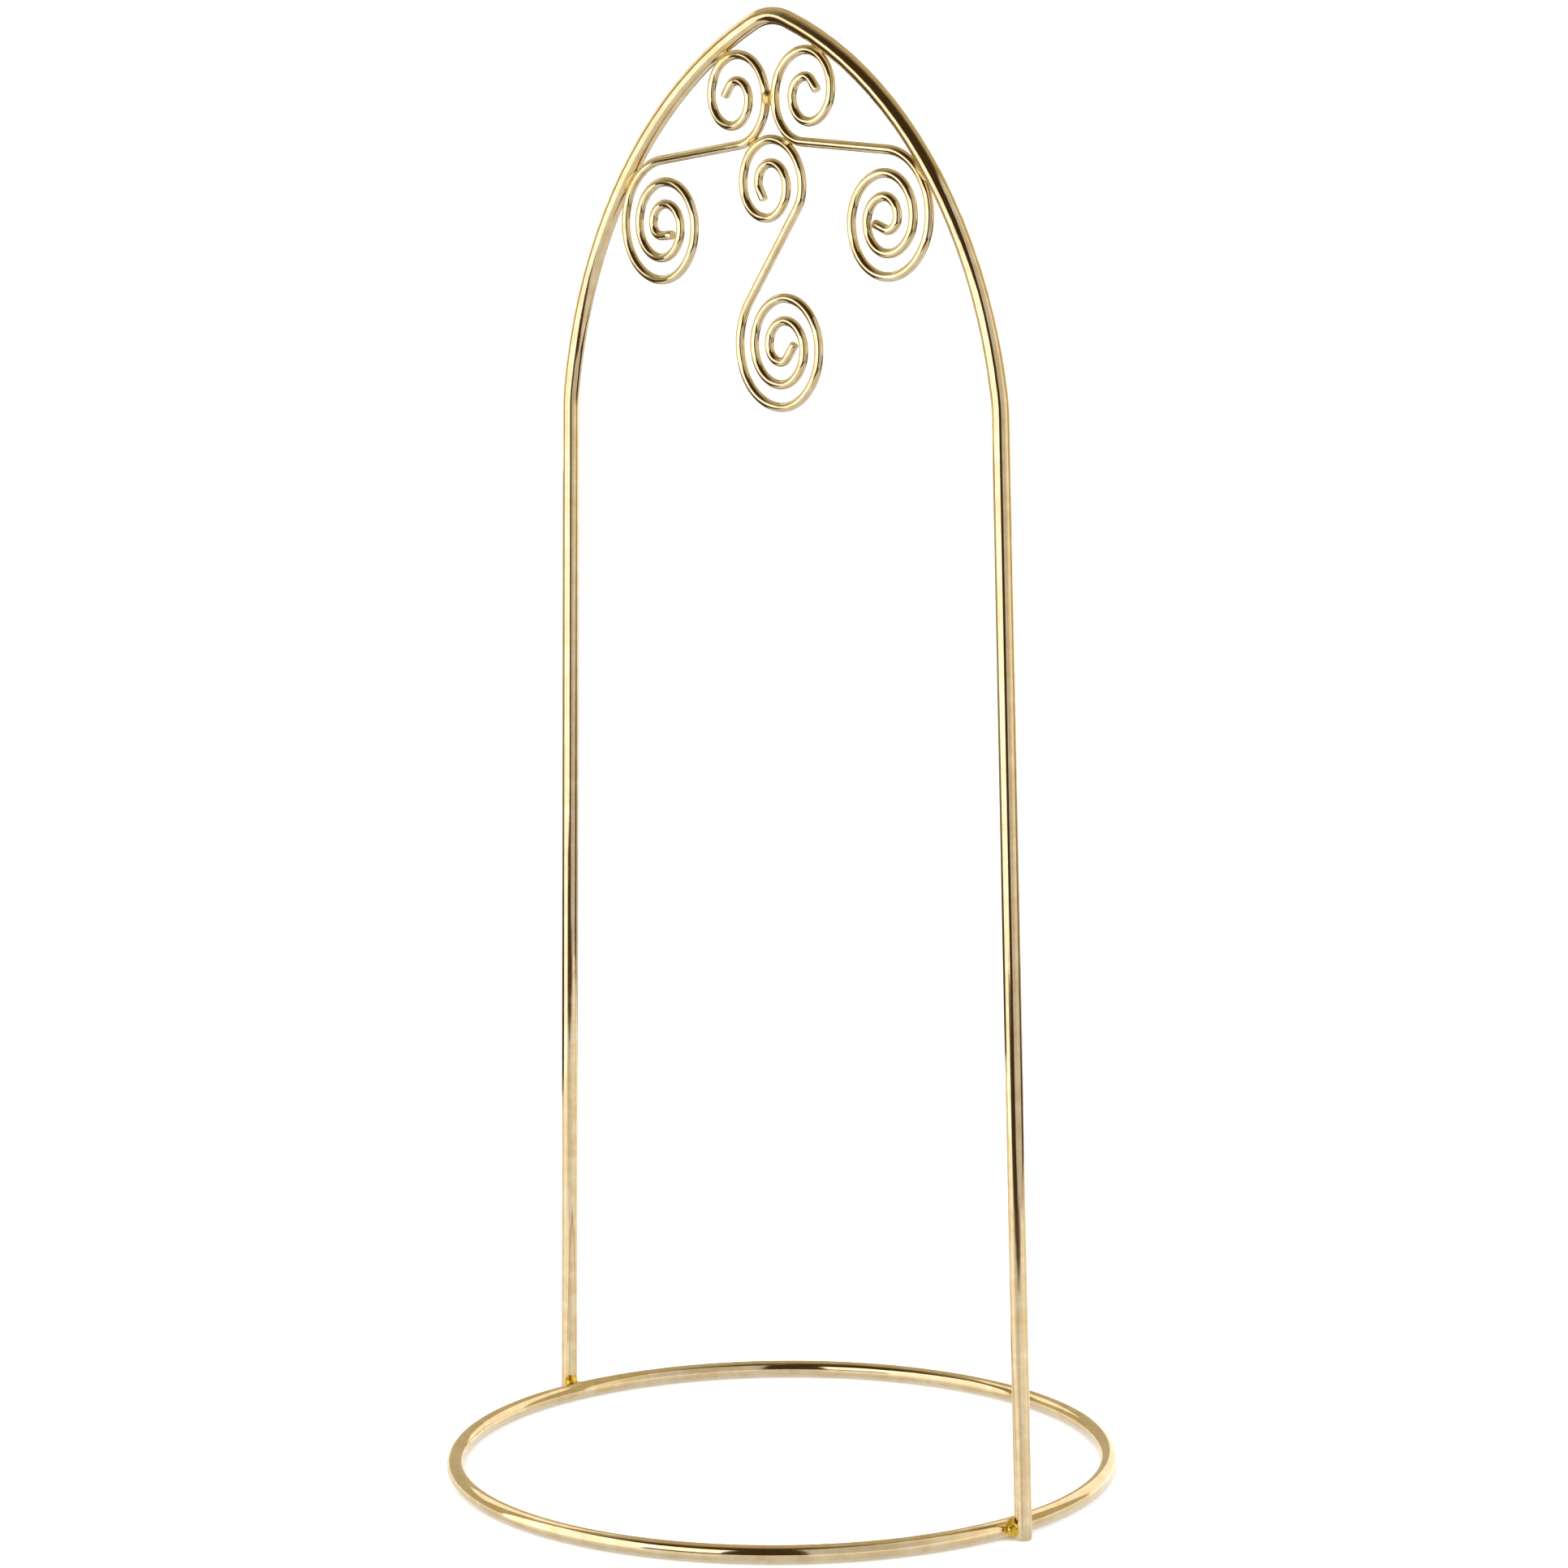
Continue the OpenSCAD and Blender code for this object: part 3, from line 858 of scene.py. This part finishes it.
class BuildFootBrazes(bpy.types.Operator):
    """Build the fillets between the ring and the feet of the arch"""

    bl_idname = "stand.build_foot_brazes"
    bl_label = "Foot fillets"

    def execute(self, context):
        s = context.scene.stand_sizes
        where = layout(s)
        foot = joint_places(s, where)["foot"]
        leg = Vector((where.foot_x, 0)) + STRAIGHT_BEND * unit(s.leg_lean)
        # Where the spare metal froze: away from the middle, towards the back and up, in millimetres
        lumps = {"right": (0.9, -2.5, 0.1), "left": (-0.1, -1.5, 2.0)}
        for side, name in ((1, "right"), (-1, "left")):
            dx, dy, dz = (part * MM for part in lumps[name])
            braze(
                name + "_foot_braze", name + "_foot_bead",
                {
                    **bend("First", (0, 0, s.rod_d / 2), (0, 0, 1), s.ring_d / 2, s.rod_d),
                    **bend("Second", (side * leg.x, 0, leg.y), ARCH_AXIS, STRAIGHT_BEND, s.rod_d),
                    "Nip": (side * foot.x, 0, foot.z), "Along": (0, 1, 0),
                    "Reach": 3.6 * MM, "Fillet": 3.4 * MM, "Half box": (3 * MM, 5 * MM, 5 * MM),
                    "Lump": (side * (foot.x + dx), dy, foot.z + dz),
                    "Lump radius": 1.2 * MM, "Ripple": 0.05 * MM, "Finish": foot_material(),
                },
                side,
            )
        return {"FINISHED"}


class BuildFlankBrazes(bpy.types.Operator):
    """Build the fillets between the flanks of the arch and the side scrolls"""

    bl_idname = "stand.build_flank_brazes"
    bl_label = "Flank fillets"

    def execute(self, context):
        s = context.scene.stand_sizes
        where = layout(s)
        places = joint_places(s, where)
        flank = flat_point(where.flank_c)
        # The scroll's bend at each joint, and the fillet's reach and size in millimetres
        kinds = (
            ("low", where.low_c, s.low_r, 4.4, 2.3),
            ("top", where.top_second_c, where.top_second_r, 2.9, 2.1),
        )
        for kind, centre, radius, reach, fillet in kinds:
            for side, name in ((1, "right"), (-1, "left")):
                nip = places[kind]
                out = (centre - where.flank_c).normalized()
                braze(
                    f"{name}_{kind}_braze", f"{name}_{kind}_bead",
                    {
                        **bend("First", (side * flank.x, 0, flank.z), ARCH_AXIS, s.flank_r, s.rod_d),
                        **bend("Second", (side * centre.x, 0, centre.y), ARCH_AXIS, radius, s.wire_d),
                        "Nip": (side * nip.x, 0, nip.z), "Along": (-side * out.y, 0, out.x),
                        "Reach": reach * MM, "Fillet": fillet * MM, "Half box": (5 * MM, 2.2 * MM, 5 * MM),
                        "Finish": seam_material(),
                    },
                    side * radius / MM,
                )
        return {"FINISHED"}


class BuildCrownBrazes(bpy.types.Operator):
    """Build the fillets that join the scrolls to each other"""

    bl_idname = "stand.build_crown_brazes"
    bl_label = "Crown fillets"

    def execute(self, context):
        s = context.scene.stand_sizes
        where = layout(s)
        places = joint_places(s, where)
        right, left = where.top_c, across(where.top_c)
        # Name, place, the two bends, and the fillet's reach and size in millimetres
        kinds = (
            ("crown", "crown", right, left, s.top_r, 2.5, 4.4),
            ("right_centre", "right", right, where.crook_c, s.crook_r, 1.6, 2.6),
            ("left_centre", "left", left, where.crook_second_c, where.crook_second_r, 2.0, 2.4),
        )
        for kind, place, centre, other, other_r, reach, fillet in kinds:
            way = (other - centre).normalized()
            braze(
                kind + "_braze", kind + "_bead",
                {
                    **bend("First", (centre.x, 0, centre.y), ARCH_AXIS, s.top_r, s.wire_d),
                    **bend("Second", (other.x, 0, other.y), ARCH_AXIS, other_r, s.wire_d),
                    "Nip": places[place], "Along": (-way.y, 0, way.x),
                    "Reach": reach * MM, "Fillet": fillet * MM, "Half box": (3.5 * MM, 2.2 * MM, 3.5 * MM),
                    "Finish": seam_material(),
                },
                reach,
            )
        return {"FINISHED"}


def put(piece):
    """Puts a stage piece in the scene."""
    bpy.context.scene.collection.objects.link(piece)
    return piece


def seen_only_in_metal(piece):
    """The piece shows only as a reflection, and neither shades nor lights the rest."""
    piece.visible_camera = False
    piece.visible_diffuse = False
    piece.visible_transmission = False
    piece.visible_volume_scatter = False
    piece.visible_shadow = False


# The floor lies a hair below the table top, so that the two never meet
FLOOR_DROP = 0.2 * MM
# The direction, from the stand, of the painted shade, the darkest part of the room's glow
ROOM_DARK = (0.47, -0.81, 0.34)
# Points round the rim of a board
RIM_STEPS = 128
# The studio's panels: direction in degrees on the camera's scale, distance, width, level of the
# lower edge, height, and brightness
PANELS = {
    "left_panel": (-22, 0.42, 0.44, 0, 0.46, 2.7),
    "front_panel": (17, 0.42, 0.2, 0.07, 0.39, 2.9),
    "right_panel": (94, 0.46, 0.7, 0, 1.1, 1.1),
    "back_panel": (-172, 0.46, 0.4, 0, 0.55, 1.3),
    "side_panel": (-92, 0.46, 0.3, 0.22, 0.4, 1.3),
}


def dim_room(radius):
    """A warm, dim room for the polished metal to mirror, with its light and shade painted into a glow. It is
    darkest over the camera and on the floor beyond the table, and paler behind the stand."""
    material = bpy.data.materials.new("dim_room_painted_glow")
    material.use_nodes = True
    material.cycles.emission_sampling = "NONE"
    tree = material.node_tree
    tree.nodes.clear()
    place = add(tree, "ShaderNodeTexCoord").outputs["Object"]
    looking = add(tree, VECTOR, {"Vector": place}, operation="NORMALIZE")
    towards = add(tree, VECTOR, {0: looking, 1: ROOM_DARK}, operation="DOT_PRODUCT")
    over_camera = add(tree, RANGE, {"Value": towards, "From Min": 0.05, "From Max": 0.5})
    level = add(tree, "ShaderNodeSeparateXYZ", {"Vector": looking}).outputs["Z"]
    below = add(tree, RANGE, {"Value": level, "From Min": -0.05, "From Max": -0.15})
    dark = add(tree, MATH, {0: over_camera, 1: below}, operation="MAXIMUM")
    # Painted light and shade: the pale colour glows as lit walls would, and the dark one is painted shade
    # over the camera and on the floor beyond the table
    room = add(
        tree, "ShaderNodeMix",
        {"Factor_Float": dark, "A_Color": (*linear("#D4C7A4"), 1), "B_Color": (*linear("#4B3A24"), 1)},
        data_type="RGBA",
    )
    glow = add(tree, "ShaderNodeEmission", {"Color": room.outputs[2]})
    add(tree, "ShaderNodeOutputMaterial", {"Surface": glow})
    mesh = bpy.data.meshes.new("dim_room")
    shape = bmesh.new()
    bmesh.ops.create_uvsphere(shape, u_segments=48, v_segments=24, radius=radius)
    shape.to_mesh(mesh)
    shape.free()
    mesh.materials.append(material)
    seen_only_in_metal(put(bpy.data.objects.new("dim_room", mesh)))


def disc(name, radius, level, material, front=None):
    """A flat round board. One with a front edge is cut straight at that distance, towards the camera."""
    stage = bpy.context.scene.stand_stage
    ahead = unit(stage.azimuth - QUARTER)
    rim = []
    for k in range(RIM_STEPS):
        point = radius * unit(2 * math.pi * k / RIM_STEPS)
        if front is not None:
            point -= max(0, point.dot(ahead) - front) * ahead
        rim.append(Vector((*point, level)))
    mesh = bpy.data.meshes.new(name)
    mesh.from_pydata(rim, [], [tuple(range(RIM_STEPS))])
    mesh.materials.append(material)
    return put(bpy.data.objects.new(name, mesh))


def pointing(azimuth, elevation):
    """The direction from the stand to a camera at an azimuth and elevation."""
    level = math.cos(elevation)
    return Vector((math.sin(azimuth) * level, -math.cos(azimuth) * level, math.sin(elevation)))


def panel_light(name, azimuth, distance, width, level, height, radiance):
    """An upright glowing panel that faces the stand, from a level above the floor."""
    light = bpy.data.lights.new(name, "AREA")
    light.shape = "RECTANGLE"
    light.size = width
    light.size_y = height
    # A panel of this power has about the wanted brightness when it is looked at
    light.energy = 2 * radiance * width * height
    piece = bpy.data.objects.new(name, light)
    towards = pointing(azimuth, 0)
    turn = (-towards).to_track_quat("-Z", "Y")
    place = towards * distance + Vector((0, 0, level + height / 2))
    piece.matrix_world = Matrix.Translation(place) @ turn.to_matrix().to_4x4()
    piece.visible_camera = False
    bpy.context.scene.collection.objects.link(piece)


def studio_world():
    """Soft white light from all round, for everything but the metal's reflections."""
    world = bpy.data.worlds.new("studio")
    world.use_nodes = True
    tree = world.node_tree
    tree.nodes.clear()
    soft = add(tree, "ShaderNodeBackground", {"Color": (1, 1, 1, 1), "Strength": 1.25})
    add(tree, "ShaderNodeOutputWorld", {"Surface": soft.outputs[0]})
    world.cycles_visibility.glossy = False
    bpy.context.scene.world = world


class BuildStage(bpy.types.Operator):
    """Build the floor, the lights and the camera"""

    bl_idname = "stand.build_stage"
    bl_label = "Stage"

    def execute(self, context):
        stage = context.scene.stand_stage
        paint = matt_board("matt_painted_floor", stage.floor_white)
        floor = disc("studio_floor", stage.floor_r, -FLOOR_DROP, paint)
        floor.visible_glossy = False
        # The metal mirrors only the table top, and beyond its edge the dim room
        acrylic = backlit_table(stage.table_white)
        seen_only_in_metal(disc("table_top", stage.table_r, 0, acrylic, stage.table_front))
        dim_room(1.5 * stage.floor_r)
        studio_world()
        for name, (direction, *sizes) in PANELS.items():
            panel_light(name, math.radians(direction), *sizes)

        camera_data = bpy.data.cameras.new("camera")
        camera_data.sensor_width = 36
        camera_data.lens = stage.lens
        camera = bpy.data.objects.new("camera", camera_data)
        away = pointing(stage.azimuth, stage.elevation)
        forward = -pointing(stage.facing, stage.pitch)
        right = forward.cross(Vector((0, 0, 1))).normalized()
        up = right.cross(forward)
        lean = math.cos(stage.roll) * right + math.sin(stage.roll) * up
        rise = math.cos(stage.roll) * up - math.sin(stage.roll) * right
        turn = Matrix((lean, rise, -forward)).transposed().to_4x4()
        camera.matrix_world = Matrix.Translation(away * stage.distance) @ turn
        context.scene.collection.objects.link(camera)
        context.scene.camera = camera
        context.scene.view_settings.view_transform = "Standard"
        return {"FINISHED"}


class StandPanel(bpy.types.Panel):
    """The stand's pieces and sizes"""

    bl_idname = "VIEW3D_PT_stand"
    bl_label = "Scroll arch stand"
    bl_space_type = "VIEW_3D"
    bl_region_type = "UI"
    bl_category = "Stand"

    def draw(self, context):
        for operator in OPERATORS:
            self.layout.operator(operator.bl_idname)
        for group in (context.scene.stand_sizes, context.scene.stand_finish, context.scene.stand_stage):
            box = self.layout.box()
            for name in group.__annotations__:
                box.prop(group, name)


OPERATORS = (
    BuildStage,
    BuildRing,
    BuildArch,
    BuildSideScrolls,
    BuildCentreScroll,
    BuildFootBrazes,
    BuildFlankBrazes,
    BuildCrownBrazes,
)
GROUPS = {"stand_sizes": StandSizes, "stand_finish": StandFinish, "stand_stage": StandStage}


def register():
    """Adds the sizes, the operators and the panel."""
    for kind in (*GROUPS.values(), *OPERATORS, StandPanel):
        bpy.utils.register_class(kind)
    for name, group in GROUPS.items():
        setattr(bpy.types.Scene, name, PointerProperty(type=group))


def unregister():
    """Takes them away again."""
    for name in GROUPS:
        delattr(bpy.types.Scene, name)
    for kind in reversed((*GROUPS.values(), *OPERATORS, StandPanel)):
        bpy.utils.unregister_class(kind)


def main():
    """Builds the stand."""
    register()
    bpy.ops.stand.build_stage()
    bpy.ops.stand.build_ring()
    bpy.ops.stand.build_arch()
    bpy.ops.stand.build_side_scrolls()
    bpy.ops.stand.build_centre_scroll()
    bpy.ops.stand.build_foot_brazes()
    bpy.ops.stand.build_flank_brazes()
    bpy.ops.stand.build_crown_brazes()


if __name__ == "__main__":
    main()
